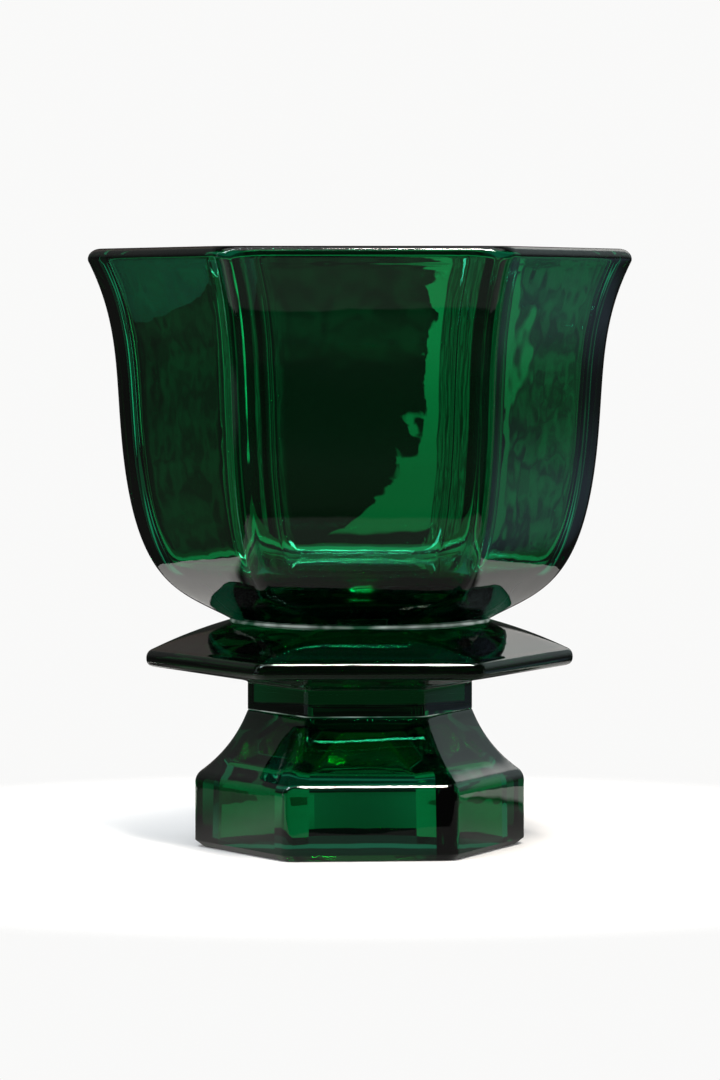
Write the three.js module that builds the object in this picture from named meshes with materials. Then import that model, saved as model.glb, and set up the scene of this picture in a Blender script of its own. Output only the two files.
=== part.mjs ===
// Footed fruit bowl of thick dark green glass, six sided, made of four pieces fused end to end.
// Millimetres, +Z up. The origin is the middle of the base, on the surface that the bowl stands on,
// and one flat face of the bowl looks to -Y. Each piece is a stack of six sided sections with
// rounded or cut corners, joined into one closed skin.

import * as THREE from 'three';

// Heights of the pieces, from the base up
const FOOT_HEIGHT = 48;
const NECK_HEIGHT = 9.5;
const COLLAR_HEIGHT = 22;
const BOWL_HEIGHT = 130.5;

// Half widths, from the axis to the crown of a rounded corner
const FOOT_HALF_WIDTH = 58.2;
const NECK_HALF_WIDTH = 39.6;
const COLLAR_HALF_WIDTH = 75.3;
const WAIST_HALF_WIDTH = 83.3;
const RIM_HALF_WIDTH = 95.4;
const JOINT_RADIUS = 45.8;

// Radii of the upright corners
const FOOT_CORNER = 4.6;
const NECK_CORNER = 4.2;
const COLLAR_CORNER = 5;
const BOWL_CORNER = 6.6;
const BOWL_HOLLOW_CORNER = 18;

// Foot: chamfered skirt, rounded shoulder, concave flare up to the neck
const BASE_CHAMFER_WIDTH = 2.8;
const BASE_CHAMFER_HEIGHT = 2.1;
const SHOULDER_HEIGHT = 25.1;
const SHOULDER_EASE = 2.85;
const FLARE_LEAN_AT_SHOULDER = 54;
const FLARE_LEAN_AT_NECK = 21;

// Hollow under the foot: six flat walls with cut corners, drawn in above its own shoulder to a small roof
const FOOT_WALL = 11.5;
const FOOT_ROOF_THICKNESS = 8;
const HOLLOW_DRAFT = 0.8;
const HOLLOW_CORNER_CUT = 4.5;
const HOLLOW_SHOULDER_RISE = 0.9;
const HOLLOW_ROOF_WIDTH = 38;
const HOLLOW_EASE = 2;

// Collar: sloping underside, rounded edge, domed bevel up to the round joint
const UNDERSIDE_FILLET_WIDTH = 2.9;
const UNDERSIDE_START = 0.7;
const EDGE_LOW = 6.2;
const EDGE_HIGH = 11.2;
const EDGE_EASE = 2.4;
const BEVEL_CROWN = 0.7;

// Bowl: how the outside leaves the joint, passes the waist and flares to the rim
const LEAN_AT_JOINT = 62;
const LEAN_AT_WAIST = 6.3;
const LEAN_AT_RIM = 26.7;
const PULL_AT_JOINT = 19;
const PULL_BELOW_WAIST = 47.6;
const PULL_ABOVE_WAIST = 26.5;
const PULL_AT_RIM = 26;
const WAIST_HEIGHT = 58.2;
const CORNER_FADE_HEIGHT = 16;
const BOWL_WALL = 6.2;
const BOWL_FLOOR = 18;
const BOWL_FLOOR_EASE = 6;

// The pieces were fused slightly turned against each other, in degrees from the bowl, and the hollow
// under the foot lies square with the bowl
const COLLAR_TURN = 2.1;
const FOOT_TURN = 3.3;

// Steps along the curved stretches and across each half corner
const CURVE_STEPS = 12;
const EASE_STEPS = 5;
const LIP_STEPS = 8;
const HALF_CORNER_STEPS = 2;

const SIDES = 6;
const HALF_SIDE = Math.PI / SIDES;
const COS_HALF_SIDE = Math.cos(HALF_SIDE);
const WIDEST_CORNER = 0.8 * HALF_SIDE;

const radians = THREE.MathUtils.degToRad;

// Distance from the axis to a flat face, for a section with this half width and corner radius
function faceDistance(halfWidth, corner) {
  return COS_HALF_SIDE * (halfWidth - corner) + corner;
}

// Half width of the section whose flat faces lie at this distance from the axis
function halfWidthAt(face, corner) {
  return (face - corner) / COS_HALF_SIDE + corner;
}

// How far a section reaches at an angle measured from the middle of a corner
function reach(halfWidth, corner, angle) {
  const centre = halfWidth - corner;
  if (Math.abs(angle) > bendAngle(halfWidth, corner)) {
    return faceDistance(halfWidth, corner) / Math.cos(HALF_SIDE - Math.abs(angle));
  }
  const across = centre * Math.sin(angle);
  return centre * Math.cos(angle) + Math.sqrt(corner * corner - across * across);
}

// Angle from the middle of a corner to the place where its rounding meets the flat face
function bendAngle(halfWidth, corner) {
  const centre = halfWidth - corner;
  return Math.atan2(corner * Math.sin(HALF_SIDE), centre + corner * COS_HALF_SIDE);
}

// A rounded corner: half the angle that it takes up, and how far the section reaches beside its middle
function roundedCorner({ halfWidth, corner }) {
  return {
    widest: Math.min(bendAngle(halfWidth, corner), WIDEST_CORNER),
    reachAt: (angle) => reach(halfWidth, corner, angle),
  };
}

// The same for a corner that is cut off straight, some way back along each of its two faces
function cutCorner({ face, cut }) {
  const distance = face / COS_HALF_SIDE - cut * Math.sin(HALF_SIDE);
  const widest = Math.atan2(cut * COS_HALF_SIDE, distance);
  const reachAt = (angle) => (
    Math.abs(angle) > widest ? face / Math.cos(HALF_SIDE - Math.abs(angle)) : distance / Math.cos(angle)
  );
  return { widest, reachAt };
}

// The points of one section: five or so across each corner and one in the middle of each face
function sectionPoints(section) {
  const points = [];
  const { widest, reachAt } = section.cut ? cutCorner(section) : roundedCorner(section);
  const { height, turn = 0 } = section;
  for (let side = 0; side < SIDES; side += 1) {
    const middle = side * 2 * HALF_SIDE;
    const angles = [];
    for (let step = -HALF_CORNER_STEPS; step <= HALF_CORNER_STEPS; step += 1) {
      angles.push((widest * step) / HALF_CORNER_STEPS);
    }
    angles.push(HALF_SIDE);
    for (const angle of angles) {
      const distance = reachAt(angle);
      const around = middle + angle + radians(turn);
      points.push([distance * Math.cos(around), distance * Math.sin(around), height]);
    }
  }
  return points;
}

// A closed skin over sections listed from the lower middle, round the outside, to the upper middle
function skinOver(sections, lowerMiddle, upperMiddle) {
  const rings = sections.map(sectionPoints);
  const count = rings[0].length;
  const positions = rings.flat(2);
  const indices = [];
  const lower = rings.length * count;
  const upper = lower + 1;
  positions.push(0, 0, lowerMiddle, 0, 0, upperMiddle);
  for (let place = 0; place < count; place += 1) {
    const next = (place + 1) % count;
    indices.push(lower, next, place);
    for (let ring = 0; ring < rings.length - 1; ring += 1) {
      const below = ring * count;
      const above = below + count;
      indices.push(below + place, below + next, above + next);
      indices.push(below + place, above + next, above + place);
    }
    const last = (rings.length - 1) * count;
    indices.push(upper, last + place, last + next);
  }
  const geometry = new THREE.BufferGeometry();
  geometry.setAttribute('position', new THREE.Float32BufferAttribute(positions, 3));
  geometry.setIndex(indices);
  geometry.computeVertexNormals();
  return geometry;
}

// A profile point is x = half width, y = height
function point(halfWidth, height) {
  return new THREE.Vector2(halfWidth, height);
}

// A step of some length along a line that leans outwards from the vertical, in degrees
function along(lean, length) {
  return point(Math.sin(radians(lean)) * length, Math.cos(radians(lean)) * length);
}

// Points of a smooth bend between two places, steered by the corner between them
function bend(start, cornerPoint, end, steps) {
  return new THREE.QuadraticBezierCurve(start, cornerPoint, end).getPoints(steps);
}

// Turns profile points into sections that share one corner radius, or take it from a rule
function sectionsOf(points, cornerRule) {
  return points.map((place, index) => ({
    halfWidth: place.x,
    corner: typeof cornerRule === 'function' ? cornerRule(place, index, points.length) : cornerRule,
    height: place.y,
  }));
}

function blendedCorner(start, end) {
  return (place, index, count) => THREE.MathUtils.lerp(start, end, index / (count - 1));
}

// A profile's corner, eased by a bend that starts and ends at the same distance from it
function easedCorner(before, cornerPoint, after, ease) {
  const start = cornerPoint.clone().add(before.clone().sub(cornerPoint).setLength(ease));
  const end = cornerPoint.clone().add(after.clone().sub(cornerPoint).setLength(ease));
  return bend(start, cornerPoint, end, EASE_STEPS);
}

const footHollowDepth = FOOT_HEIGHT - FOOT_ROOF_THICKNESS;

// The hollow under the foot, from its roof down to its mouth; x is the distance of its flat walls here
function footHollow() {
  const wallFace = faceDistance(FOOT_HALF_WIDTH, FOOT_CORNER) - FOOT_WALL;
  const roofMiddle = point(0, footHollowDepth);
  const roofEdge = point(HOLLOW_ROOF_WIDTH / 2, footHollowDepth);
  const shoulder = point(wallFace, SHOULDER_HEIGHT + HOLLOW_SHOULDER_RISE);
  const mouth = point(wallFace + HOLLOW_DRAFT, 0);
  const profile = [
    ...easedCorner(roofMiddle, roofEdge, shoulder, HOLLOW_EASE),
    ...easedCorner(roofEdge, shoulder, mouth, HOLLOW_EASE),
    mouth,
  ];
  return profile.map((place) => ({
    face: place.x,
    cut: HOLLOW_CORNER_CUT,
    height: place.y,
    turn: -FOOT_TURN,
  }));
}

// The outside of the foot, from its bearing ring up to the seat of the neck
function footOutside() {
  const shoulder = point(FOOT_HALF_WIDTH, SHOULDER_HEIGHT);
  const skirtTop = point(FOOT_HALF_WIDTH, SHOULDER_HEIGHT - SHOULDER_EASE);
  const flareStart = shoulder.clone().add(along(-FLARE_LEAN_AT_SHOULDER, SHOULDER_EASE));
  const seat = point(NECK_HALF_WIDTH, FOOT_HEIGHT);
  const slopeAtShoulder = Math.tan(radians(FLARE_LEAN_AT_SHOULDER));
  const slopeAtNeck = Math.tan(radians(FLARE_LEAN_AT_NECK));
  const spread = flareStart.x - seat.x - slopeAtNeck * (seat.y - flareStart.y);
  const rise = spread / (slopeAtShoulder - slopeAtNeck);
  const flareCorner = point(flareStart.x - slopeAtShoulder * rise, flareStart.y + rise);
  return [
    point(FOOT_HALF_WIDTH - BASE_CHAMFER_WIDTH, 0),
    point(FOOT_HALF_WIDTH, BASE_CHAMFER_HEIGHT),
    ...bend(skirtTop, shoulder, flareStart, EASE_STEPS),
    ...bend(flareStart, flareCorner, seat, CURVE_STEPS).slice(1),
  ];
}

function footGeometry() {
  const outside = footOutside();
  const sections = [
    ...footHollow(),
    ...sectionsOf(outside, blendedCorner(FOOT_CORNER, NECK_CORNER)),
  ];
  return skinOver(sections, footHollowDepth, FOOT_HEIGHT);
}

function neckGeometry() {
  const outside = [point(NECK_HALF_WIDTH, 0), point(NECK_HALF_WIDTH, NECK_HEIGHT)];
  return skinOver(sectionsOf(outside, NECK_CORNER), 0, NECK_HEIGHT);
}

// The collar's outside, from the seat of the neck, round its edge, to the round joint
function collarGeometry() {
  const seat = point(NECK_HALF_WIDTH, 0);
  const undersideStart = point(NECK_HALF_WIDTH, UNDERSIDE_START);
  const lowEdge = point(COLLAR_HALF_WIDTH, EDGE_LOW);
  const highEdge = point(COLLAR_HALF_WIDTH, EDGE_HIGH);
  const joint = point(JOINT_RADIUS, COLLAR_HEIGHT);
  const undersideWay = lowEdge.clone().sub(undersideStart).normalize();
  const bevelWay = joint.clone().sub(highEdge).normalize();
  const undersideIn = undersideStart.clone().addScaledVector(undersideWay, UNDERSIDE_FILLET_WIDTH);
  const undersideOut = lowEdge.clone().addScaledVector(undersideWay, -EDGE_EASE);
  const bevelStart = highEdge.clone().addScaledVector(bevelWay, EDGE_EASE);
  const bevelNormal = point(bevelWay.y, -bevelWay.x);
  const bevelMiddle = bevelStart.clone().lerp(joint, 0.5).addScaledVector(bevelNormal, 2 * BEVEL_CROWN);
  const edgeMiddle = lowEdge.clone().lerp(highEdge, 0.5);
  const edge = [
    ...bend(undersideOut, lowEdge, edgeMiddle, EASE_STEPS),
    ...bend(edgeMiddle, highEdge, bevelStart, EASE_STEPS).slice(1),
  ];
  const underside = bend(seat, undersideStart, undersideIn, EASE_STEPS);
  const bevel = bend(bevelStart, bevelMiddle, joint, CURVE_STEPS);
  const sections = [
    ...sectionsOf(underside, NECK_CORNER),
    ...sectionsOf(edge, COLLAR_CORNER),
    ...sectionsOf(bevel.slice(1), blendedCorner(COLLAR_CORNER, JOINT_RADIUS)),
  ];
  return skinOver(sections, 0, COLLAR_HEIGHT);
}

// The lip is a half round as thick as the wall
const LIP_RADIUS = BOWL_WALL / 2;

// The lean of a flat face, which is less than the lean of the corners beside it
function faceLean(way) {
  return Math.atan2(COS_HALF_SIDE * way.x, way.y);
}

// The two curves of the bowl's outside: joint to waist, and waist to where the lip begins
function bowlCurves() {
  const joint = point(JOINT_RADIUS, 0);
  const waist = point(WAIST_HALF_WIDTH, WAIST_HEIGHT);
  const lean = faceLean(along(LEAN_AT_RIM, 1));
  const lip = point(RIM_HALF_WIDTH, BOWL_HEIGHT - LIP_RADIUS * (1 + Math.sin(lean)));
  const lower = new THREE.CubicBezierCurve(
    joint,
    joint.clone().add(along(LEAN_AT_JOINT, PULL_AT_JOINT)),
    waist.clone().sub(along(LEAN_AT_WAIST, PULL_BELOW_WAIST)),
    waist,
  );
  const upper = new THREE.CubicBezierCurve(
    waist,
    waist.clone().add(along(LEAN_AT_WAIST, PULL_ABOVE_WAIST)),
    lip.clone().sub(along(LEAN_AT_RIM, PULL_AT_RIM)),
    lip,
  );
  return { lower, upper };
}

// Outer corners are fully round at the joint and sharpen over the first stretch above it
function bowlCorner(place) {
  const left = Math.max(0, 1 - place.y / CORNER_FADE_HEIGHT);
  return BOWL_CORNER + (JOINT_RADIUS - BOWL_CORNER) * left * left;
}

// The place on the inside that lies one wall behind a place on the outside
function behindWall(curve, t) {
  const outside = curve.getPoint(t);
  const lean = faceLean(curve.getTangent(t));
  const face = faceDistance(outside.x, BOWL_CORNER) - BOWL_WALL * Math.cos(lean);
  const height = outside.y + BOWL_WALL * Math.sin(lean);
  return { place: point(halfWidthAt(face, BOWL_HOLLOW_CORNER), height), lean };
}

// Where along the lower curve the inside wall reaches the top of the floor's easing
function floorEasingStart(curve) {
  let low = 0;
  let high = 1;
  for (let halving = 0; halving < 40; halving += 1) {
    const middle = (low + high) / 2;
    if (behindWall(curve, middle).place.y < BOWL_FLOOR + BOWL_FLOOR_EASE) {
      low = middle;
    } else {
      high = middle;
    }
  }
  return high;
}

// The lip, from the outside over the top to the inside
function lipSections(upper) {
  const lean = faceLean(upper.getTangent(1));
  const start = upper.getPoint(1);
  const face = faceDistance(start.x, BOWL_CORNER) - LIP_RADIUS * Math.cos(lean);
  const height = start.y + LIP_RADIUS * Math.sin(lean);
  const sections = [];
  for (let step = 1; step < LIP_STEPS; step += 1) {
    const share = step / LIP_STEPS;
    const angle = share * Math.PI - lean;
    const corner = THREE.MathUtils.lerp(BOWL_CORNER, BOWL_HOLLOW_CORNER, share);
    const there = face + LIP_RADIUS * Math.cos(angle);
    sections.push({
      halfWidth: halfWidthAt(there, corner),
      corner,
      height: height + LIP_RADIUS * Math.sin(angle),
    });
  }
  return sections;
}

// The inside, from below the lip down to the edge of the flat floor
function bowlInside(lower, upper) {
  const places = [];
  for (let step = 0; step < CURVE_STEPS; step += 1) {
    places.push(behindWall(upper, 1 - step / CURVE_STEPS).place);
  }
  const last = floorEasingStart(lower);
  for (let step = 0; step < CURVE_STEPS; step += 1) {
    places.push(behindWall(lower, THREE.MathUtils.lerp(1, last, step / CURVE_STEPS)).place);
  }
  const easing = behindWall(lower, last);
  const drop = easing.place.y - BOWL_FLOOR;
  const slope = Math.tan(easing.lean) / COS_HALF_SIDE;
  const foot = point(easing.place.x - slope * drop, BOWL_FLOOR);
  const floorEdge = point(foot.x - drop, BOWL_FLOOR);
  places.push(...bend(easing.place, foot, floorEdge, EASE_STEPS));
  return places;
}

function bowlGeometry() {
  const { lower, upper } = bowlCurves();
  const outside = [...lower.getPoints(2 * CURVE_STEPS), ...upper.getPoints(CURVE_STEPS).slice(1)];
  const sections = [
    ...sectionsOf(outside, bowlCorner),
    ...lipSections(upper),
    ...sectionsOf(bowlInside(lower, upper), BOWL_HOLLOW_CORNER),
  ];
  return skinOver(sections, 0, BOWL_FLOOR);
}

// A glass piece standing at a height and turned about the axis
function glassPiece(name, geometry, colour, seatHeight, turn) {
  const material = new THREE.MeshStandardMaterial({ color: colour, roughness: 0.06, metalness: 0 });
  const mesh = new THREE.Mesh(geometry, material);
  mesh.name = name;
  mesh.position.z = seatHeight;
  mesh.rotation.z = radians(turn);
  return mesh;
}

const neckSeat = FOOT_HEIGHT;
const collarSeat = neckSeat + NECK_HEIGHT;
const bowlSeat = collarSeat + COLLAR_HEIGHT;

const fruitBowl = new THREE.Group();
fruitBowl.add(
  glassPiece('foot', footGeometry(), 0x0a5a2e, 0, FOOT_TURN),
  glassPiece('neck', neckGeometry(), 0x04180f, neckSeat, COLLAR_TURN),
  glassPiece('collar', collarGeometry(), 0x062417, collarSeat, COLLAR_TURN),
  glassPiece('bowl', bowlGeometry(), 0x083c20, bowlSeat, 0),
);

export default fruitBowl;
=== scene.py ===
# Footed fruit bowl of thick dark green glass: a bowl, a collar, a neck and a foot, fused end to end.
# Metres, +Z up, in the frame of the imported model. Each piece is a fine skin over six-sided sections
# with rounded or cut corners, and replaces the plain solid of the same name. The shapes come first,
# then the glass, the camera and the studio.

import bpy
import math
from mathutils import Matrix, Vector


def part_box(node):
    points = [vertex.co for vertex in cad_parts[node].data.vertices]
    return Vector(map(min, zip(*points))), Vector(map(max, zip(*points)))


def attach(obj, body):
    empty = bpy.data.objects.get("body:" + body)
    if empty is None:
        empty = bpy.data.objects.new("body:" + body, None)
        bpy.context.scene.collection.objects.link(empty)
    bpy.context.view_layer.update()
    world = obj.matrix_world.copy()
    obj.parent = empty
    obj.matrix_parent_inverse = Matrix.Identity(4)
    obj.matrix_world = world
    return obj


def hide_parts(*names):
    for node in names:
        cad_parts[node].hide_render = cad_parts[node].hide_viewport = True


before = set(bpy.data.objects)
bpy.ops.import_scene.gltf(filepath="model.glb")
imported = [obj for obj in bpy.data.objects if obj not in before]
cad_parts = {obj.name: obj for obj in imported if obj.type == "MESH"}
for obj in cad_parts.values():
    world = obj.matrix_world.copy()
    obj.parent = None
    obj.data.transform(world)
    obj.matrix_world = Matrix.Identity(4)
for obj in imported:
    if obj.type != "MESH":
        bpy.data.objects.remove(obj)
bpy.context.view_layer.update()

MM = 0.001

# Half widths, from the axis to the crown of a rounded corner
FOOT_HALF_WIDTH = 58.2 * MM
NECK_HALF_WIDTH = 39.6 * MM
COLLAR_HALF_WIDTH = 75.3 * MM
WAIST_HALF_WIDTH = 83.3 * MM
RIM_HALF_WIDTH = 95.4 * MM
JOINT_RADIUS = 45.8 * MM

# Radii of the upright corners
FOOT_CORNER = 4.6 * MM
NECK_CORNER = 4.2 * MM
COLLAR_CORNER = 5 * MM
BOWL_CORNER = 6.6 * MM
BOWL_HOLLOW_CORNER = 18 * MM

# Foot. Here and below, a lean is in degrees from the vertical.
BASE_CHAMFER_WIDTH = 2.8 * MM
BASE_CHAMFER_HEIGHT = 2.1 * MM
SHOULDER_HEIGHT = 25.1 * MM
SHOULDER_EASE = 2.85 * MM
FLARE_LEAN_AT_SHOULDER = 54
FLARE_LEAN_AT_NECK = 21

# Hollow under the foot, which lies square with the bowl
FOOT_WALL = 11.5 * MM
FOOT_ROOF_THICKNESS = 8 * MM
HOLLOW_DRAFT = 0.8 * MM
HOLLOW_CORNER_CUT = 4.5 * MM
HOLLOW_SHOULDER_RISE = 0.9 * MM
HOLLOW_ROOF_WIDTH = 38 * MM
HOLLOW_EASE = 2 * MM

# Collar
UNDERSIDE_FILLET_WIDTH = 2.9 * MM
UNDERSIDE_START = 0.7 * MM
EDGE_LOW = 6.2 * MM
EDGE_HIGH = 11.2 * MM
EDGE_EASE = 2.4 * MM
BEVEL_CROWN = 0.7 * MM

# Bowl: the lean of its profile at three heights, and how far each lean pulls the curves beside it
LEAN_AT_JOINT = 62
LEAN_AT_WAIST = 6.3
LEAN_AT_RIM = 26.7
PULL_AT_JOINT = 19 * MM
PULL_BELOW_WAIST = 47.6 * MM
PULL_ABOVE_WAIST = 26.5 * MM
PULL_AT_RIM = 26 * MM
WAIST_HEIGHT = 58.2 * MM
CORNER_FADE_HEIGHT = 16 * MM
BOWL_WALL = 6.2 * MM
BOWL_FLOOR = 18 * MM
BOWL_FLOOR_EASE = 6 * MM
LIP_RADIUS = BOWL_WALL / 2

# The seam where the bowl was fused to the collar, with a painted reflection, and the rings of a skin
# that are seam
JOINT_SEAM = 0.8 * MM
BOWL_SEAM_RINGS = 1
NECK_SEAM_RINGS = 4

# Turns against the bowl, in degrees: the collar and neck, and the foot
COLLAR_TURN = 2.1
FOOT_TURN = 3.3

# Seams: how far the arrises beside a fused face are melted round, and the hair gap between two pieces
SEAM_EASE = 0.35 * MM
SEAM_GAP = 0.02 * MM

# Fineness of the skins, and the angle in degrees from which an edge is drawn sharp
CORNER_STEPS = 6
FACE_STEPS = 12
CURVE_STEPS = 40
EASE_STEPS = 10
SEAM_STEPS = 4
LIP_STEPS = 20
ROOF_STEPS = 4
HOLLOW_STEPS = 12
SKIRT_STEPS = 8
UNDERSIDE_STEPS = 16
CAVITY_EASE_STEPS = 20
CAVITY_FLOOR_STEPS = 12
HALVINGS = 40
SHARP_ANGLE = 20

SIDES = 6
HALF_SIDE = math.pi / SIDES
COS_HALF_SIDE = math.cos(HALF_SIDE)
WIDEST_CORNER = 0.8 * HALF_SIDE

# The glass: refraction, the tint of its surface, and how strongly a metre of it holds back each colour
GLASS_IOR = 1.52
DEEPER_TINT = (0.125, 0.96, 0.5, 1)
CLEARER_TINT = (0.175, 1.0, 0.6, 1)
ABSORBED_RED = 140.0
ABSORBED_GREEN = 22.0
ABSORBED_BLUE = 32.0

# Its surface: slow waves and fine ripples from the mould and the fire, by their number in a metre and
# their depth
SLOW_WAVES = 17.0
SLOW_WAVE_DEPTH = 0.7 * MM
FINE_RIPPLES = 75.0
FINE_RIPPLE_DEPTH = 0.08 * MM
WAVE_DETAIL = 1.0

# A faint film of use lies in patches, from none at one value of its noise to the roughest at another,
# and the tint turns from its deeper to its clearer shade in the same way
FILM_PATCHES = 42.0
FILM_DETAIL = 4.0
FILM_START = 0.45
FILM_FULL = 0.75
FILM_ROUGHNESS = 0.025
TINT_STREAKS = 11.0
TINT_DETAIL = 3.0
TINT_START = 0.3
TINT_FULL = 0.7

# The seam's painted reflection: its blotches in a metre, and its shades where the noise is low and
# where it is high
SEAM_ROUGHNESS = 0.4
PAINTED_REFLECTION_BLOTCHES = 90.0
PAINTED_REFLECTION_DETAIL = 2.0
PAINTED_REFLECTION_START = 0.4
PAINTED_REFLECTION_FULL = 0.62
PAINTED_REFLECTION_GREEN = (0.02, 0.12, 0.06, 1)
PAINTED_REFLECTION_PALE = (0.7, 0.85, 0.78, 1)

# The value that a noise wavers about
NOISE_MIDDLE = 0.5


def corner_angle(half_width, corner):
    """Angle from the middle of a corner to where its rounding meets the flat face."""
    centre = half_width - corner
    return math.atan2(corner * math.sin(HALF_SIDE), centre + corner * COS_HALF_SIDE)


def face_distance(half_width, corner):
    """How far the flat faces of a section lie from the axis."""
    return COS_HALF_SIDE * (half_width - corner) + corner


def half_width_at(face, corner):
    """The half width of a section whose faces lie at this distance from the axis."""
    return (face - corner) / COS_HALF_SIDE + corner


def reach(half_width, corner, angle):
    """How far a section reaches at an angle measured from the middle of a corner."""
    if abs(angle) > corner_angle(half_width, corner):
        return face_distance(half_width, corner) / math.cos(HALF_SIDE - abs(angle))
    centre = half_width - corner
    across = centre * math.sin(angle)
    return centre * math.cos(angle) + math.sqrt(corner * corner - across * across)


def cut_corner(face, cut):
    """Half the angle of a corner that is cut off straight, and how far the cut lies from the axis."""
    distance = face / COS_HALF_SIDE - cut * math.sin(HALF_SIDE)
    return math.atan2(cut * COS_HALF_SIDE, distance), distance


def cut_reach(face, cut, angle):
    """How far a section with cut corners reaches at an angle from the middle of a corner."""
    widest, distance = cut_corner(face, cut)
    if abs(angle) > widest:
        return face / math.cos(HALF_SIDE - abs(angle))
    return distance / math.cos(angle)


def section_points(size, corner, height, turn=None):
    """One section: steps round each corner, then even steps along the face beside it.

    A rounded section has a half width and a corner radius. One with a turn has cut corners, and gives
    the distance of its faces and the length cut off each of them.
    """
    rounded = turn is None
    widest = min(corner_angle(size, corner), WIDEST_CORNER) if rounded else cut_corner(size, corner)[0]
    reach_at = reach if rounded else cut_reach
    side_angle = HALF_SIDE - widest
    points = []
    for side in range(SIDES):
        middle = side * 2 * HALF_SIDE + math.radians(turn or 0)
        angles = [widest * step / CORNER_STEPS for step in range(-CORNER_STEPS, CORNER_STEPS + 1)]
        for step in range(1, FACE_STEPS):
            share = 2 * step / FACE_STEPS - 1
            angles.append(HALF_SIDE + math.atan(share * math.tan(side_angle)))
        for angle in angles:
            from_corner = angle if angle <= HALF_SIDE else angle - 2 * HALF_SIDE
            distance = reach_at(size, corner, from_corner)
            around = middle + angle
            points.append((distance * math.cos(around), distance * math.sin(around), height))
    return points


def point(half_width, height):
    """A place in the profile of a piece."""
    return Vector((half_width, height))


def along(lean, length):
    """A step along a line that leans outwards from the vertical by some degrees."""
    return point(math.sin(math.radians(lean)) * length, math.cos(math.radians(lean)) * length)


def bend(start, corner, end, steps=EASE_STEPS):
    """Points of a smooth bend between two places, steered by the corner between them."""
    points = []
    for step in range(steps + 1):
        t = step / steps
        points.append(start * (1 - t) ** 2 + corner * 2 * t * (1 - t) + end * t * t)
    return points


def line(start, end, steps):
    return [start.lerp(end, step / steps) for step in range(steps + 1)]


def cubic(places, t):
    """A place on a cubic curve, steered by its two middle places."""
    a, b, c, d = places
    u = 1 - t
    return a * u**3 + b * 3 * u * u * t + c * 3 * u * t * t + d * t**3


def cubic_way(places, t):
    """Direction of travel along a cubic curve."""
    a, b, c, d = places
    u = 1 - t
    return ((b - a) * u * u + (c - b) * 2 * u * t + (d - c) * t * t).normalized()


def face_lean(way):
    """Lean of a flat face, which is less than that of the corners beside it."""
    return math.atan2(COS_HALF_SIDE * way.x, way.y)


def with_corner(points, corner):
    return [(p.x, corner, p.y) for p in points]


def blended(points, start, end):
    """Sections along a profile, whose corner radius runs from one value to another."""
    last = len(points) - 1
    return [(p.x, start + (end - start) * i / last, p.y) for i, p in enumerate(points)]


def eased_corner(before, corner, after, ease):
    """A profile's corner as a bend that starts and ends at the same distance from it."""
    start = corner + (before - corner).normalized() * ease
    end = corner + (after - corner).normalized() * ease
    return bend(start, corner, end)


def foot_hollow(depth):
    """From near the middle of the hollow's roof down to its mouth, by the distance of its walls."""
    wall_face = face_distance(FOOT_HALF_WIDTH, FOOT_CORNER) - FOOT_WALL
    roof_edge = point(HOLLOW_ROOF_WIDTH / 2, depth)
    roof_start = point(HOLLOW_ROOF_WIDTH / 4, depth)
    shoulder = point(wall_face, SHOULDER_HEIGHT + HOLLOW_SHOULDER_RISE)
    mouth = point(wall_face + HOLLOW_DRAFT, 0)
    upper = eased_corner(roof_start, roof_edge, shoulder, HOLLOW_EASE)
    lower = eased_corner(roof_edge, shoulder, mouth, HOLLOW_EASE)
    profile = line(roof_start, upper[0], ROOF_STEPS)[:-1] + upper
    profile += line(upper[-1], lower[0], HOLLOW_STEPS)[1:-1] + lower
    profile += line(lower[-1], mouth, SKIRT_STEPS)[1:]
    return [(place.x, HOLLOW_CORNER_CUT, place.y, -FOOT_TURN) for place in profile]


def foot_sections():
    """From the roof of the hollow down to its mouth, under the ring and up the outside."""
    shoulder = point(FOOT_HALF_WIDTH, SHOULDER_HEIGHT)
    skirt_top = point(FOOT_HALF_WIDTH, SHOULDER_HEIGHT - SHOULDER_EASE)
    flare_start = shoulder + along(-FLARE_LEAN_AT_SHOULDER, SHOULDER_EASE)
    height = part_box("foot")[1][2] - SEAM_GAP
    seat = point(NECK_HALF_WIDTH, height)
    slope_low = math.tan(math.radians(FLARE_LEAN_AT_SHOULDER))
    slope_high = math.tan(math.radians(FLARE_LEAN_AT_NECK))
    spread = flare_start.x - seat.x - slope_high * (seat.y - flare_start.y)
    rise = spread / (slope_low - slope_high)
    flare_corner = point(flare_start.x - slope_low * rise, flare_start.y + rise)
    flare = bend(flare_start, flare_corner, seat, CURVE_STEPS)
    seam = bend(flare[-2], seat, seat - point(SEAM_EASE, 0), SEAM_STEPS)[1:]
    skirt = line(point(FOOT_HALF_WIDTH, BASE_CHAMFER_HEIGHT), skirt_top, SKIRT_STEPS)
    outside = [point(FOOT_HALF_WIDTH - BASE_CHAMFER_WIDTH, 0)] + skirt[:-1]
    outside += bend(skirt_top, shoulder, flare_start) + flare[1:-2] + seam
    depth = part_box("foot")[1][2] - FOOT_ROOF_THICKNESS
    return foot_hollow(depth) + blended(outside, FOOT_CORNER, NECK_CORNER), depth, height


def neck_sections():
    """From the seat on the foot up to the seat of the collar."""
    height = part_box("neck")[1][2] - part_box("neck")[0][2] - SEAM_GAP
    low = point(NECK_HALF_WIDTH, 0)
    high = point(NECK_HALF_WIDTH, height)
    ease_in = point(SEAM_EASE, 0)
    ease_up = point(0, SEAM_EASE)
    outside = bend(low - ease_in, low, low + ease_up, SEAM_STEPS)
    outside += line(low + ease_up, high - ease_up, SKIRT_STEPS)[1:-1]
    outside += bend(high - ease_up, high, high - ease_in, SEAM_STEPS)
    return with_corner(outside, NECK_CORNER), 0, height


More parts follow.
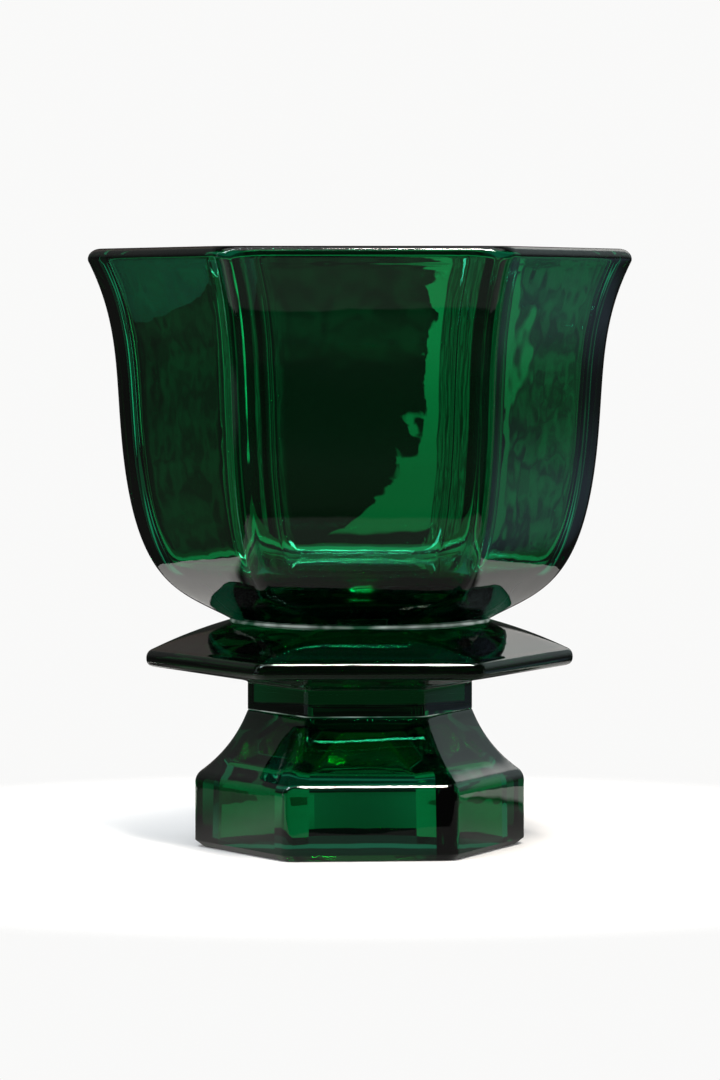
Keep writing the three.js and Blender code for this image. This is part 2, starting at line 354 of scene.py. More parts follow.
def collar_sections():
    """From the seat of the neck, out under the collar, round its edge and up to the round joint."""
    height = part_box("collar")[1][2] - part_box("collar")[0][2] - SEAM_GAP
    seat = point(NECK_HALF_WIDTH, 0)
    start = point(NECK_HALF_WIDTH, UNDERSIDE_START)
    low_edge = point(COLLAR_HALF_WIDTH, EDGE_LOW)
    high_edge = point(COLLAR_HALF_WIDTH, EDGE_HIGH)
    joint = point(JOINT_RADIUS, height)
    under_way = (low_edge - start).normalized()
    bevel_way = (joint - high_edge).normalized()
    under_in = start + under_way * UNDERSIDE_FILLET_WIDTH
    under_out = low_edge - under_way * EDGE_EASE
    bevel_start = high_edge + bevel_way * EDGE_EASE
    bevel_normal = point(bevel_way.y, -bevel_way.x)
    bevel_middle = bevel_start.lerp(joint, 0.5) + bevel_normal * 2 * BEVEL_CROWN
    edge_middle = low_edge.lerp(high_edge, 0.5)
    underside = bend(seat, start, under_in) + line(under_in, under_out, UNDERSIDE_STEPS)[1:-1]
    edge = bend(under_out, low_edge, edge_middle) + bend(edge_middle, high_edge, bevel_start)[1:]
    bevel = bend(bevel_start, bevel_middle, joint, CURVE_STEPS)[1:]
    sections = blended(underside, NECK_CORNER, COLLAR_CORNER) + with_corner(edge, COLLAR_CORNER)
    sections += blended(bevel, COLLAR_CORNER, JOINT_RADIUS)
    return sections, 0, height


def bowl_sections():
    """From the round joint up the outside, over the lip and down the inside."""
    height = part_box("bowl")[1][2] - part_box("bowl")[0][2]
    joint = point(JOINT_RADIUS, 0)
    waist = point(WAIST_HALF_WIDTH, WAIST_HEIGHT)
    lip_lean = face_lean(along(LEAN_AT_RIM, 1))
    lip = point(RIM_HALF_WIDTH, height - LIP_RADIUS * (1 + math.sin(lip_lean)))
    seam_top = joint + point(0, JOINT_SEAM)
    lower = (
        seam_top,
        seam_top + along(LEAN_AT_JOINT, PULL_AT_JOINT),
        waist - along(LEAN_AT_WAIST, PULL_BELOW_WAIST),
        waist,
    )
    upper = (
        waist,
        waist + along(LEAN_AT_WAIST, PULL_ABOVE_WAIST),
        lip - along(LEAN_AT_RIM, PULL_AT_RIM),
        lip,
    )
    outside = [cubic(lower, step / CURVE_STEPS) for step in range(CURVE_STEPS)]
    outside += [cubic(upper, step / CURVE_STEPS) for step in range(CURVE_STEPS + 1)]
    sections = []
    for place in [joint] + outside:
        left = max(0.0, 1 - place.y / CORNER_FADE_HEIGHT)
        corner = BOWL_CORNER + (JOINT_RADIUS - BOWL_CORNER) * left * left
        sections.append((place.x, corner, place.y))
    sections += lip_sections(lip, lip_lean)
    sections += bowl_inside(lower, upper)
    return sections, 0, BOWL_FLOOR


def lip_sections(start, lean):
    """The half round lip, from the outside over the top to the inside."""
    face = face_distance(start.x, BOWL_CORNER) - LIP_RADIUS * math.cos(lean)
    height = start.y + LIP_RADIUS * math.sin(lean)
    sections = []
    for step in range(1, LIP_STEPS):
        share = step / LIP_STEPS
        angle = share * math.pi - lean
        corner = BOWL_CORNER + (BOWL_HOLLOW_CORNER - BOWL_CORNER) * share
        there = face + LIP_RADIUS * math.cos(angle)
        sections.append((half_width_at(there, corner), corner, height + LIP_RADIUS * math.sin(angle)))
    return sections


def behind_wall(curve, t):
    """The place on the inside that lies one wall behind a place on the outside, and its lean."""
    outside = cubic(curve, t)
    lean = face_lean(cubic_way(curve, t))
    face = face_distance(outside.x, BOWL_CORNER) - BOWL_WALL * math.cos(lean)
    place = point(half_width_at(face, BOWL_HOLLOW_CORNER), outside.y + BOWL_WALL * math.sin(lean))
    return place, lean


def bowl_inside(lower, upper):
    """The inside, from below the lip down to the middle of the floor."""
    places = [behind_wall(upper, 1 - step / CURVE_STEPS)[0] for step in range(CURVE_STEPS)]
    low, high = 0.0, 1.0
    for halving in range(HALVINGS):
        middle = (low + high) / 2
        if behind_wall(lower, middle)[0].y < BOWL_FLOOR + BOWL_FLOOR_EASE:
            low = middle
        else:
            high = middle
    for step in range(CURVE_STEPS):
        places.append(behind_wall(lower, 1 - (1 - high) * step / CURVE_STEPS)[0])
    easing, lean = behind_wall(lower, high)
    drop = easing.y - BOWL_FLOOR
    foot = point(easing.x - math.tan(lean) / COS_HALF_SIDE * drop, BOWL_FLOOR)
    floor_edge = point(foot.x - drop, BOWL_FLOOR)
    places += bend(easing, foot, floor_edge, CAVITY_EASE_STEPS)
    places += line(floor_edge, point(floor_edge.x / 2, BOWL_FLOOR), CAVITY_FLOOR_STEPS)[1:]
    return with_corner(places, BOWL_HOLLOW_CORNER)


def glass_piece(name, node, made, turn, material, seam=None, seam_rings=0):
    """A closed skin over the sections, set at the node's height and turned about the axis.

    The lowest rings take the seam's material, with its painted reflection, if there is one.
    """
    sections, lower_middle, upper_middle = made
    rings = [section_points(*section) for section in sections]
    count = len(rings[0])
    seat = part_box(node)[0][2]
    points = [p for ring in rings for p in ring]
    points += [(0, 0, lower_middle), (0, 0, upper_middle)]
    lower = len(points) - 2
    upper = len(points) - 1
    faces = []
    seam_faces = []
    for place in range(count):
        after = (place + 1) % count
        faces.append((lower, after, place))
        for ring in range(len(rings) - 1):
            below = ring * count
            above = below + count
            if ring < seam_rings:
                seam_faces.append(len(faces))
            faces.append((below + place, below + after, above + after, above + place))
        last = (len(rings) - 1) * count
        faces.append((upper, last + place, last + after))
    cosine = math.cos(math.radians(turn))
    sine = math.sin(math.radians(turn))
    placed = [(x * cosine - y * sine, x * sine + y * cosine, z + seat) for x, y, z in points]
    mesh = bpy.data.meshes.new(name)
    mesh.from_pydata(placed, [], faces)
    mesh.shade_smooth()
    mesh.set_sharp_from_angle(angle=math.radians(SHARP_ANGLE))
    mesh.materials.append(material)
    if seam:
        mesh.materials.append(seam)
    for face in seam_faces:
        mesh.polygons[face].material_index = 1
    piece = bpy.data.objects.new(name, mesh)
    bpy.context.scene.collection.objects.link(piece)
    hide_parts(node)
    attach(piece, "root")


class Maker:
    """Adds nodes to a tree and joins them."""

    def __init__(self, tree):
        self.tree = tree

    def node(self, kind, **settings):
        made = self.tree.nodes.new(kind)
        for name, value in settings.items():
            setattr(made, name, value)
        return made

    def feed(self, socket, value):
        """Joins a socket to another, or sets its value."""
        if isinstance(value, bpy.types.NodeSocket):
            self.tree.links.new(value, socket)
        else:
            socket.default_value = value

    def fed(self, kind, inputs, **settings):
        """A node with its inputs set by name or by place."""
        made = self.node(kind, **settings)
        for key, value in inputs.items():
            self.feed(made.inputs[key], value)
        return made

    def math(self, operation, *values):
        return self.fed("ShaderNodeMath", dict(enumerate(values)), operation=operation).outputs[0]

    def vector(self, operation, *values):
        made = self.fed("ShaderNodeVectorMath", dict(enumerate(values)), operation=operation)
        return made.outputs["Value" if operation in ("DOT_PRODUCT", "LENGTH") else "Vector"]

    def axes(self, place):
        return self.fed("ShaderNodeSeparateXYZ", {0: place}).outputs

    def noise(self, place, scale, detail):
        inputs = {"Vector": place, "Scale": scale, "Detail": detail}
        return self.fed("ShaderNodeTexNoise", inputs).outputs

    def ramp(self, value, low, high, low_value=0.0, high_value=1.0, ease="SMOOTHSTEP"):
        inputs = {
            "Value": value,
            "From Min": low,
            "From Max": high,
            "To Min": low_value,
            "To Max": high_value,
        }
        return self.fed("ShaderNodeMapRange", inputs, interpolation_type=ease).outputs["Result"]

    def shades(self, value, low, low_colour, high, high_colour):
        """A colour that turns from one to another between two values."""
        made = self.fed("ShaderNodeValToRGB", {"Fac": value})
        start, end = made.color_ramp.elements
        start.position, start.color = low, low_colour
        end.position, end.color = high, high_colour
        return made.outputs["Color"]

    def patch(self, value, low, high, ease):
        """One between two values and nothing outside them, with soft ends."""
        start = self.ramp(value, low - ease, low + ease)
        end = self.ramp(value, high - ease, high + ease, 1.0, 0.0)
        return self.math("MULTIPLY", start, end)

    def product(self, first, *others):
        for other in others:
            first = self.math("MULTIPLY", first, other)
        return first

    def total(self, first, *others):
        for other in others:
            first = self.math("ADD", first, other)
        return first

    def light(self, kind, colour, strength, name=""):
        """Light of a colour: a Background's in the world, an Emission's on a surface."""
        inputs = {"Color": colour, "Strength": strength}
        return self.fed("ShaderNode" + kind, inputs, label=name).outputs[0]

    def both(self, one, other):
        return self.fed("ShaderNodeAddShader", {0: one, 1: other}).outputs[0]

    def mix(self, share, one, other):
        return self.fed("ShaderNodeMixShader", {0: share, 1: one, 2: other}).outputs[0]


def green_glass(name):
    """Transparent dark green glass, with most of its colour held in its depth."""
    material = bpy.data.materials.new(name)
    material.use_nodes = True
    maker = Maker(material.node_tree)
    shader = material.node_tree.nodes["Principled BSDF"]
    output = material.node_tree.nodes["Material Output"]
    shader.inputs["IOR"].default_value = GLASS_IOR
    shader.inputs["Transmission Weight"].default_value = 1.0
    place = maker.node("ShaderNodeTexCoord").outputs["Object"]
    slow = maker.noise(place, SLOW_WAVES, WAVE_DETAIL)[0]
    fine = maker.noise(place, FINE_RIPPLES, WAVE_DETAIL)[0]
    waves = maker.fed("ShaderNodeBump", {"Distance": SLOW_WAVE_DEPTH, "Height": slow})
    inputs = {"Distance": FINE_RIPPLE_DEPTH, "Height": fine, "Normal": waves.outputs["Normal"]}
    ripples = maker.fed("ShaderNodeBump", inputs)
    maker.feed(shader.inputs["Normal"], ripples.outputs["Normal"])
    patches = maker.noise(place, FILM_PATCHES, FILM_DETAIL)[0]
    film = maker.ramp(patches, FILM_START, FILM_FULL, 0.0, FILM_ROUGHNESS, ease="LINEAR")
    maker.feed(shader.inputs["Roughness"], film)
    streaks = maker.noise(place, TINT_STREAKS, TINT_DETAIL)[0]
    tint = maker.shades(streaks, TINT_START, DEEPER_TINT, TINT_FULL, CLEARER_TINT)
    maker.feed(shader.inputs["Base Color"], tint)
    depth = maker.node("ShaderNodeVolumeAbsorption")
    depth.inputs["Color"].default_value = (
        0.0,
        1 - ABSORBED_GREEN / ABSORBED_RED,
        1 - ABSORBED_BLUE / ABSORBED_RED,
        1,
    )
    depth.inputs["Density"].default_value = ABSORBED_RED
    maker.feed(output.inputs["Volume"], depth.outputs["Volume"])
    return material


def painted_reflection_glass(name):
    """The fused seam: rough, with a pale blotchy colour that is a painted reflection of the light
    caught in its crease.
    """
    material = bpy.data.materials.new(name)
    material.use_nodes = True
    maker = Maker(material.node_tree)
    shader = material.node_tree.nodes["Principled BSDF"]
    shader.inputs["Roughness"].default_value = SEAM_ROUGHNESS
    place = maker.node("ShaderNodeTexCoord").outputs["Object"]
    reflection_blotches = maker.noise(place, PAINTED_REFLECTION_BLOTCHES, PAINTED_REFLECTION_DETAIL)[0]
    # Painted reflection: the pale blotches stand in for the bright light caught in the seam's crease
    pale = maker.shades(reflection_blotches, PAINTED_REFLECTION_START, PAINTED_REFLECTION_GREEN, PAINTED_REFLECTION_FULL, PAINTED_REFLECTION_PALE)
    maker.feed(shader.inputs["Base Color"], pale)
    return material


# The pieces of glass
glass = green_glass("dark_green_glass")
# The seam material is a painted reflection, pale where the joints catch light
seam = painted_reflection_glass("seam_painted_reflection")
glass_piece("foot_glass", "foot", foot_sections(), FOOT_TURN, glass)
glass_piece("neck_glass", "neck", neck_sections(), COLLAR_TURN, glass, seam, NECK_SEAM_RINGS)
glass_piece("collar_glass", "collar", collar_sections(), COLLAR_TURN, glass)
glass_piece("bowl_glass", "bowl", bowl_sections(), 0, glass, seam, BOWL_SEAM_RINGS)


# The camera, at the photograph's viewing angle: distances in metres, angles in degrees, and the lens
# and the sensor in millimetres
CAMERA_DISTANCE = 1.604
CAMERA_HEIGHT = 0.190
CAMERA_AZIMUTH = -0.9
CAMERA_PITCH = 2.94
CAMERA_LENS = 152.0
CAMERA_SENSOR = 36.0
CAMERA_REACH = 20.0


def add_camera():
    data = bpy.data.cameras.new("camera")
    data.lens = CAMERA_LENS
    data.sensor_width = CAMERA_SENSOR
    data.clip_end = CAMERA_REACH
    camera = bpy.data.objects.new("camera", data)
    turn = math.radians(CAMERA_AZIMUTH)
    camera.location = (
        math.sin(turn) * CAMERA_DISTANCE,
        -math.cos(turn) * CAMERA_DISTANCE,
        CAMERA_HEIGHT,
    )
    camera.rotation_euler = (math.radians(90 - CAMERA_PITCH), 0, turn)
    bpy.context.scene.collection.objects.link(camera)
    bpy.context.scene.camera = camera


# The studio. The camera sees a pale backdrop, and an even white light falls on the floor. The glass
# mirrors one set of soft windows, and lets another set through.
BACKDROP = (0.95, 0.95, 0.945, 1)
PLAIN_LIGHT = (0.8, 0.8, 0.8, 1)
EVEN_LIGHT = 1.12
MIRRORED_ROOM = (0.03, 0.032, 0.03, 1)
SEEN_ROOM = (0.005, 0.0055, 0.005, 1)

# Each window: azimuth from straight behind (to the right is plus), half width, height of its middle,
# half height and softness of its edge, all in degrees, then its brightness and its colour
MIRRORED_WINDOWS = (
    ("before", 180, 40, -17, 7, 3, 0.035, (1.0, 1.0, 0.95)),
    ("left_face", -62, 12, -24, 18, 4, 0.02, (1.0, 1.0, 0.9)),
    ("right_face", 62, 12, -24, 18, 4, 0.2, (0.5, 0.75, 1.0)),
    ("left_flare", -44, 20, 24, 18, 12, 0.13, (0.9, 1.0, 0.95)),
    ("right_flare", 44, 20, 24, 18, 10, 0.38, (0.8, 1.0, 1.0)),
    ("left_low", -100, 26, -3, 5, 2, 0.2, (0.8, 0.93, 1.0)),
    ("left_tall", -96, 1.6, 22, 24, 1.0, 2.0, (0.85, 0.95, 1.0)),
    ("left_line", -67, 2, -34, 22, 0.8, 1.3, (0.3, 1.0, 0.65)),
    ("front_lamp", 164, 6, 74, 9, 1.0, 70.0, (1.0, 0.93, 0.85)),
    ("corner_lamp", -125, 7, 58, 12, 1.5, 14.0, (0.85, 0.93, 1.0)),
    ("left_wedge", -20, 9, 24, 10, 4, 0.12, (1.0, 0.75, 0.65)),
    ("right_wedge", 21, 9, 24, 10, 4, 1.1, (1.0, 0.98, 0.94)),
    ("right_line", 84, 6, -20, 24, 2, 0.25, (0.7, 1.0, 0.85)),
)
SEEN_WINDOWS = (
    ("above_collar", 0, 30, 50, 9, 4, 0.07, (0.9, 1.0, 1.1)),
    ("high", 0, 60, 66, 8, 3, 0.08, (0.7, 1.0, 1.2)),
    ("behind_low", 0, 48, -6, 3, 1, 0.06, (0.7, 1.0, 0.7)),
    ("behind_lower", 0, 40, -11, 2.5, 1, 0.3, (1.0, 1.0, 0.9)),
    ("beside_left", -98, 26, 4, 20, 6, 0.05, (1.0, 1.0, 0.9)),
    ("beside_right", 98, 26, 4, 20, 6, 0.06, (1.0, 1.0, 0.9)),
    ("in_front", 180, 40, 4, 20, 6, 0.04, (1.0, 1.0, 0.9)),
    ("front_lamp", 175.3, 1.2, 45, 2, 0.3, 2.0, (1.0, 1.0, 0.95)),
    ("back_lamp", -14, 1.2, 58, 2, 0.3, 2.5, (1.0, 1.0, 0.95)),
)

# The soft light overhead starts at this height in degrees, and the surroundings are not quite
# straight: their directions waver by a small share
SOFTBOX_HEIGHT = 62
SOFTBOX_EASE = 0.05
SOFTBOX_BRIGHTNESS = 1.3
WAVER_SCALE = 14.0
WAVER_DETAIL = 2.0
WAVER = 0.05

# Light from below and before the board: its upper edge in degrees under the horizon, its strength
# in the middle, and what is added towards the left and the right. The rest are soft edges, as shares
# of a direction.
GLOW_EDGE = 26
GLOW_MIDDLE = 0.18
GLOW_LEFT = 0.55
GLOW_RIGHT = 0.25
GLOW_COLOUR = (1.0, 1.0, 0.96, 1)
GLOW_EDGE_EASE = 0.02
GLOW_SIDE_START = 0.2
GLOW_SIDE_FULL = 0.9
GLOW_FRONT_START = 0.1
GLOW_FRONT_FULL = 0.5


def window_light(maker, flat_way, rise, window):
    """A soft edged window of light at a place in the surroundings."""
    name, azimuth, half_width, height, half_height, softness, brightness, colour = window
    middle = (math.sin(math.radians(azimuth)), math.cos(math.radians(azimuth)), 0)
    beside = maker.vector("DOT_PRODUCT", flat_way, middle)
    outer = math.cos(math.radians(half_width + softness))
    inner = math.cos(math.radians(max(half_width - softness, 0)))
    across = maker.ramp(beside, outer, inner)
    tall = math.sin(math.radians(half_height))
    ease = math.sin(math.radians(softness))
    off = maker.math("ABSOLUTE", maker.math("SUBTRACT", rise, math.sin(math.radians(height))))
    upright = maker.ramp(off, tall - ease, tall + ease, 1.0, 0.0)
    strength = maker.product(across, upright, brightness)
    return maker.light("Background", (*colour, 1), strength, name)


def windows_light(maker, flat_way, rise, room, windows):
    """A dim room with its windows."""
    total = maker.light("Background", room, 1.0)
    for window in windows:
        total = maker.both(total, window_light(maker, flat_way, rise, window))
    return total


def low_glow(maker, flat_way, rise):
    """Light from below the board's front edge, stronger towards the sides."""
    under = -math.sin(math.radians(GLOW_EDGE))
    below = maker.ramp(rise, under - GLOW_EDGE_EASE, under, 1.0, 0.0)
    to_right = maker.vector("DOT_PRODUCT", flat_way, (1, 0, 0))
    to_front = maker.vector("DOT_PRODUCT", flat_way, (0, -1, 0))
    right = maker.ramp(to_right, GLOW_SIDE_START, GLOW_SIDE_FULL, 0.0, GLOW_RIGHT)
    left = maker.ramp(to_right, -GLOW_SIDE_FULL, -GLOW_SIDE_START, GLOW_LEFT, 0.0)
    before = maker.ramp(to_front, GLOW_FRONT_START, GLOW_FRONT_FULL)
    strength = maker.product(maker.total(left, right, GLOW_MIDDLE), below, before)
    return maker.light("Background", GLOW_COLOUR, strength)


def add_room():
    """What each kind of ray meets round the bowl: backdrop, even light, or one set of windows."""
    world = bpy.data.worlds.new("studio")
    world.use_nodes = True
    world.node_tree.nodes.clear()
    bpy.context.scene.world = world
    maker = Maker(world.node_tree)
    way = maker.node("ShaderNodeTexCoord").outputs["Generated"]
    wavering = maker.noise(way, WAVER_SCALE, WAVER_DETAIL)["Color"]
    shift = maker.vector("SUBTRACT", wavering, (NOISE_MIDDLE,) * 3)
    shifted = maker.vector("ADD", way, maker.vector("MULTIPLY", shift, (WAVER,) * 3))
    rise = maker.vector("DOT_PRODUCT", shifted, (0, 0, 1))
    flat_way = maker.vector("NORMALIZE", maker.vector("MULTIPLY", shifted, (1, 1, 0)))
    low = math.sin(math.radians(SOFTBOX_HEIGHT))
    above = maker.ramp(rise, low - SOFTBOX_EASE, low + SOFTBOX_EASE, 0.0, SOFTBOX_BRIGHTNESS)
    mirrored = windows_light(maker, flat_way, rise, MIRRORED_ROOM, MIRRORED_WINDOWS)
    mirrored = maker.both(mirrored, maker.light("Background", PLAIN_LIGHT, above))
    mirrored = maker.both(mirrored, low_glow(maker, flat_way, rise))
    through = windows_light(maker, flat_way, rise, SEEN_ROOM, SEEN_WINDOWS)
    even = maker.light("Background", PLAIN_LIGHT, EVEN_LIGHT)
    backdrop = maker.light("Background", BACKDROP, 1.0)
    path = maker.node("ShaderNodeLightPath").outputs
    glass_light = maker.mix(path["Is Transmission Ray"], mirrored, through)
    lit = maker.mix(path["Is Diffuse Ray"], glass_light, even)
    seen = maker.mix(path["Is Camera Ray"], lit, backdrop)
    maker.fed("ShaderNodeOutputWorld", {"Surface": seen})


def bare_material(name):
    """A new material without nodes, and a maker for them."""
    material = bpy.data.materials.new(name)
    material.use_nodes = True
    material.node_tree.nodes.clear()
    return material, Maker(material.node_tree)


def add_flat(name, corners, material):
    """One flat face of the studio."""
    mesh = bpy.data.meshes.new(name)
    mesh.from_pydata(corners, [], [tuple(range(len(corners)))])
    mesh.materials.append(material)
    flat = bpy.data.objects.new(name, mesh)
    bpy.context.scene.collection.objects.link(flat)
    return flat


# The floor is a round pale board that fades into the backdrop
FLOOR_RADIUS = 260 * MM
FLOOR_FADE_START = 140 * MM
FLOOR_DROP = 0.2 * MM
FLOOR_STEPS = 96
FLOOR_SEEN = (0.88, 0.88, 0.875, 1)
FLOOR_GLOW = (1.0, 0.98, 0.94, 1)
FRONT_EDGE = 138 * MM
FRONT_EDGE_EASE = 3 * MM

# Before the bowl ends and behind it begins between these two places
BEFORE_END = -30 * MM
BEHIND_START = 50 * MM

# How bright the board is in the mirror of the glass: before the bowl and more so to its left, in a
# strip on either side of it, and in the far parts behind on either side
FRONT_LIGHT = 0.2
FRONT_LEFT_LIGHT = 0.25
FRONT_LEFT_FULL = -120 * MM
FRONT_LEFT_START = 20 * MM
STRIP_LIGHT = 0.17
STRIP_FRONT = -10 * MM
STRIP_BACK = 80 * MM
STRIP_EASE = 10 * MM
STRIP_START = 60 * MM
STRIP_FULL = 70 * MM
FAR_LEFT_LIGHT = 1.1
FAR_RIGHT_LIGHT = 0.75
FAR_START = 85 * MM
FAR_FULL = 100 * MM

# How bright it is through the glass: before the bowl, behind it and on either side of there
SEEN_FRONT = 0.13
SEEN_BACK = 0.08
SEEN_BACK_LEFT = 0.12
SEEN_BACK_RIGHT = 0.15
SEEN_SIDE_START = 30 * MM
SEEN_SIDE_END = 150 * MM
SEEN_SIDE_EASE = 30 * MM

# Through the glass, it is dim in the shade under the foot, but for one lighter strip, and dim again in
# a strip just behind the foot
SHADE_LIGHT = 0.02
SHADE_START = 41 * MM
SHADE_END = 55 * MM
LIGHT_STRIP = 0.1
LIGHT_STRIP_FRONT = -1 * MM
LIGHT_STRIP_BACK = 14 * MM
LIGHT_STRIP_EASE = 2 * MM
DARK_STRIP_SHARE = 0.1
DARK_STRIP_FRONT = 44 * MM
DARK_STRIP_BACK = 72 * MM
DARK_STRIP_EASE = 4 * MM
DARK_STRIP_HALF_WIDTH = 40 * MM
DARK_STRIP_END_EASE = 8 * MM


def mirrored_floor(maker, x, y, is_before):
    """How bright the floor is by place, in the mirror of the glass."""
    to_left = maker.ramp(x, FRONT_LEFT_FULL, FRONT_LEFT_START, FRONT_LEFT_LIGHT, 0.0)
    front = maker.product(maker.total(to_left, FRONT_LIGHT), is_before)
    far_back = maker.ramp(y, FAR_START, FAR_FULL)
    far_left = maker.product(maker.ramp(x, -FAR_FULL, -FAR_START, FAR_LEFT_LIGHT, 0.0), far_back)
    far_right = maker.product(maker.ramp(x, FAR_START, FAR_FULL, 0.0, FAR_RIGHT_LIGHT), far_back)
    from_middle = maker.math("ABSOLUTE", x)
    beside = maker.patch(y, STRIP_FRONT, STRIP_BACK, STRIP_EASE)
    strips = maker.product(maker.ramp(from_middle, STRIP_START, STRIP_FULL, 0.0, STRIP_LIGHT), beside)
    return maker.total(front, far_left, far_right, strips)


def seen_floor(maker, x, y, is_before, distance):
    """How bright the floor is by place, through the glass."""
    right = maker.patch(x, SEEN_SIDE_START, SEEN_SIDE_END, SEEN_SIDE_EASE)
    left = maker.patch(x, -SEEN_SIDE_END, -SEEN_SIDE_START, SEEN_SIDE_EASE)
    sides = maker.total(maker.product(right, SEEN_BACK_RIGHT), maker.product(left, SEEN_BACK_LEFT))
    is_behind = maker.math("SUBTRACT", 1.0, is_before)
    back = maker.product(maker.total(sides, SEEN_BACK), is_behind)
    all_round = maker.total(back, maker.product(is_before, SEEN_FRONT))
    dark_strip = maker.product(
        maker.patch(y, DARK_STRIP_FRONT, DARK_STRIP_BACK, DARK_STRIP_EASE),
        maker.patch(x, -DARK_STRIP_HALF_WIDTH, DARK_STRIP_HALF_WIDTH, DARK_STRIP_END_EASE),
    )
    past_strip = maker.ramp(dark_strip, 0.0, 1.0, 1.0, DARK_STRIP_SHARE)
    light_strip = maker.patch(y, LIGHT_STRIP_FRONT, LIGHT_STRIP_BACK, LIGHT_STRIP_EASE)
    under = maker.total(maker.product(light_strip, LIGHT_STRIP), SHADE_LIGHT)
    in_open = maker.ramp(distance, SHADE_START, SHADE_END)
    in_shade = maker.math("SUBTRACT", 1.0, in_open)
    return maker.total(maker.product(all_round, in_open, past_strip), maker.product(in_shade, under))


def add_floor():
    """A matt board for the camera, and light by place for rays that come from the glass."""
    material, maker = bare_material("floor")
    path = maker.node("ShaderNodeLightPath").outputs
    place = maker.node("ShaderNodeTexCoord").outputs["Object"]
    distance = maker.vector("LENGTH", place)
    axes = maker.axes(place)
    x, y = axes["X"], axes["Y"]
    is_before = maker.ramp(y, BEFORE_END, BEHIND_START, 1.0, 0.0)
    is_mirrored = maker.math("SUBTRACT", 1.0, path["Is Transmission Ray"])
    strength = maker.total(
        maker.product(mirrored_floor(maker, x, y, is_before), is_mirrored),
        maker.product(seen_floor(maker, x, y, is_before, distance), path["Is Transmission Ray"]),
    )
    glow = maker.light("Emission", FLOOR_GLOW, strength)
    matt = maker.fed("ShaderNodeBsdfDiffuse", {"Color": FLOOR_SEEN}).outputs[0]
    clear = maker.node("ShaderNodeBsdfTransparent").outputs[0]
    fade = maker.ramp(distance, FLOOR_FADE_START, FLOOR_RADIUS)
    seen = maker.mix(maker.product(fade, path["Is Camera Ray"]), matt, clear)
    past_edge = maker.ramp(y, -FRONT_EDGE - FRONT_EDGE_EASE, -FRONT_EDGE + FRONT_EDGE_EASE, 1.0, 0.0)
    ended = maker.mix(past_edge, glow, clear)
    maker.fed("ShaderNodeOutputMaterial", {"Surface": maker.mix(path["Is Camera Ray"], ended, seen)})
    rim = []
    for step in range(FLOOR_STEPS):
        angle = 2 * math.pi * step / FLOOR_STEPS
        rim.append((FLOOR_RADIUS * math.cos(angle), FLOOR_RADIUS * math.sin(angle), -FLOOR_DROP))
    add_flat("floor", rim, material)


# A card behind the bowl, seen only through the glass. A pale cloth hangs on its right half, with a
# wavy edge that swings out to the left lower down, and weaker light lies on either side.
CARD_DISTANCE = 1.0
CARD_HALF_WIDTH = 1.0
CARD_HEIGHT = 0.6
CARD_COLOUR = (1.0, 1.0, 0.85, 1)
CARD_DARK = 0.003
MIDDLE_DIM = 0.005
MIDDLE_START = -170 * MM
MIDDLE_END = 210 * MM
CLOTH_LIGHT = 0.26
CLOTH_LOW_LIGHT = 0.143
CLOTH_LOW_HEIGHT = 80 * MM
CLOTH_FULL_HEIGHT = 190 * MM
CLOTH_TOP_EDGE = 60 * MM
CLOTH_TOP_HEIGHT = 193 * MM
CLOTH_SWING = 2.57
CLOTH_END = 97 * MM
CLOTH_END_EASE = 7 * MM
CLOTH_TOP = 225 * MM
CLOTH_BOTTOM = 40 * MM
CLOTH_HEM_EASE = 3 * MM
CLOTH_EDGE_EASE = 1 * MM
CLOTH_WAVE = 30 * MM
EDGE_WAVES = 50.0
EDGE_WAVE_DETAIL = 3.0
BLOTCHES = 55.0
BLOTCH_DETAIL = 4.0
BLOTCH_LOW = 0.35
BLOTCH_HIGH = 0.65
BLOTCH_DIM = 0.35
BLOTCH_BRIGHT = 1.5

# Each patch of weaker light on the card: its left and right end in mm, its foot and top in mm, and
# its brightness
CARD_PATCHES = (
    (105, 215, -50, 600, 0.078),
    (228, 320, -50, 600, 0.09),
    (-110, -48, -50, 600, 0.026),
    (-175, -95, 178, 260, 0.013),
    (-300, -235, -50, 600, 0.07),
    (-800, -520, 60, 155, 0.6),
    (-50, 60, 165, 260, 0.016),
    (-60, 60, 400, 560, 0.06),
)
PATCH_SIDE_EASE = 14 * MM
PATCH_END_EASE = 8 * MM


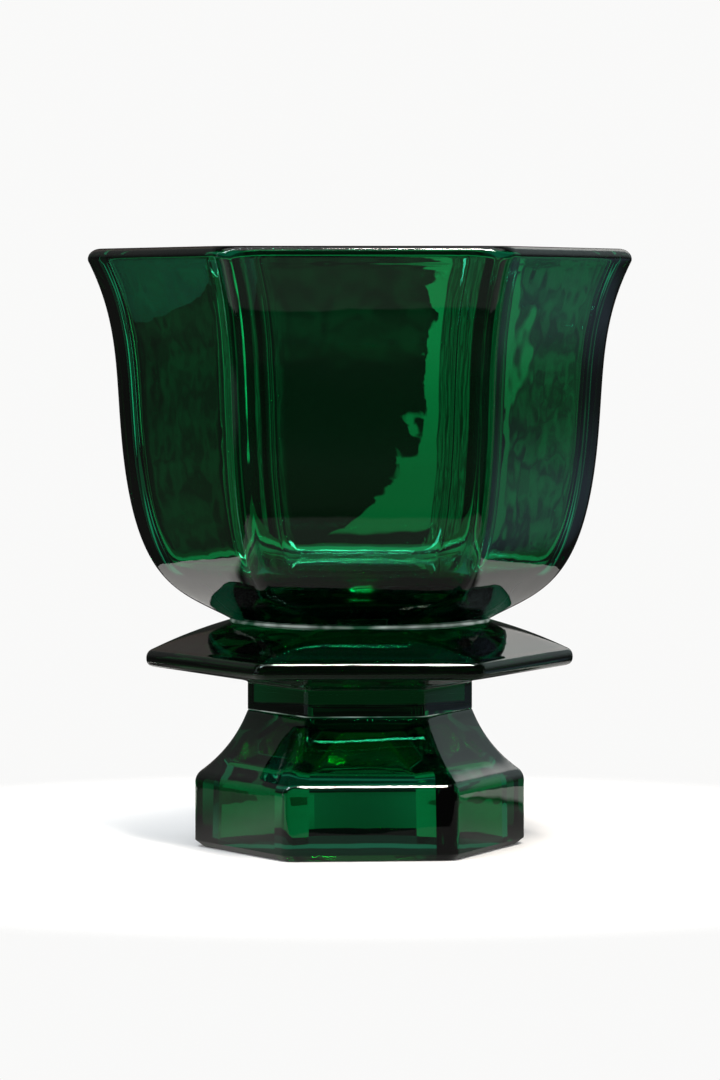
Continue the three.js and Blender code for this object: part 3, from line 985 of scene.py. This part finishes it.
def cloth_light(maker, x, z, wave):
    """The cloth on the card: bright between its wavy edge and its straight end.

    The edge swings out by the square of the drop below its top.
    """
    drop = maker.math("MAXIMUM", maker.math("SUBTRACT", CLOTH_TOP_HEIGHT, z), 0.0)
    edge = maker.math("SUBTRACT", CLOTH_TOP_EDGE, maker.product(drop, drop, CLOTH_SWING))
    ragged = maker.total(edge, maker.product(wave, CLOTH_WAVE), CLOTH_EDGE_EASE / 2)
    inside = maker.ramp(maker.math("SUBTRACT", x, ragged), -CLOTH_EDGE_EASE, CLOTH_EDGE_EASE)
    before_end = maker.ramp(x, CLOTH_END - CLOTH_END_EASE, CLOTH_END + CLOTH_END_EASE, 1.0, 0.0)
    tall = maker.patch(z, CLOTH_BOTTOM, CLOTH_TOP, CLOTH_HEM_EASE)
    strength = maker.ramp(z, CLOTH_LOW_HEIGHT, CLOTH_FULL_HEIGHT, CLOTH_LOW_LIGHT, CLOTH_LIGHT)
    return maker.product(inside, before_end, tall, strength)


def add_card():
    material, maker = bare_material("card")
    place = maker.node("ShaderNodeTexCoord").outputs["Object"]
    axes = maker.axes(place)
    x, z = axes["X"], axes["Z"]
    wave = maker.math("SUBTRACT", maker.noise(place, EDGE_WAVES, EDGE_WAVE_DETAIL)[0], NOISE_MIDDLE)
    blotches = maker.noise(place, BLOTCHES, BLOTCH_DETAIL)[0]
    patchy = maker.ramp(blotches, BLOTCH_LOW, BLOTCH_HIGH, BLOTCH_DIM, BLOTCH_BRIGHT)
    dim = maker.product(maker.patch(x, MIDDLE_START, MIDDLE_END, PATCH_END_EASE), MIDDLE_DIM)
    strength = maker.total(dim, CARD_DARK, cloth_light(maker, x, z, wave))
    for low, high, foot, top, brightness in CARD_PATCHES:
        across = maker.patch(x, low * MM, high * MM, PATCH_SIDE_EASE)
        upright = maker.patch(z, foot * MM, top * MM, PATCH_END_EASE)
        strength = maker.total(strength, maker.product(across, upright, patchy, brightness))
    glow = maker.light("Emission", CARD_COLOUR, strength)
    maker.fed("ShaderNodeOutputMaterial", {"Surface": glow})
    left, right = (-CARD_HALF_WIDTH, CARD_DISTANCE), (CARD_HALF_WIDTH, CARD_DISTANCE)
    corners = [(*left, 0), (*right, 0), (*right, CARD_HEIGHT), (*left, CARD_HEIGHT)]
    card = add_flat("card", corners, material)
    card.visible_camera = False
    card.visible_diffuse = False
    card.visible_glossy = False
    card.visible_shadow = False


add_camera()
add_room()
add_floor()
add_card()

# Light has to pass many surfaces of glass
GLASS_BOUNCES = 40
CLEAR_BOUNCES = 24

scene = bpy.context.scene
scene.view_settings.view_transform = "Standard"
scene.cycles.max_bounces = GLASS_BOUNCES
scene.cycles.transmission_bounces = GLASS_BOUNCES
scene.cycles.transparent_max_bounces = CLEAR_BOUNCES
scene.cycles.caustics_refractive = False
scene.cycles.caustics_reflective = False
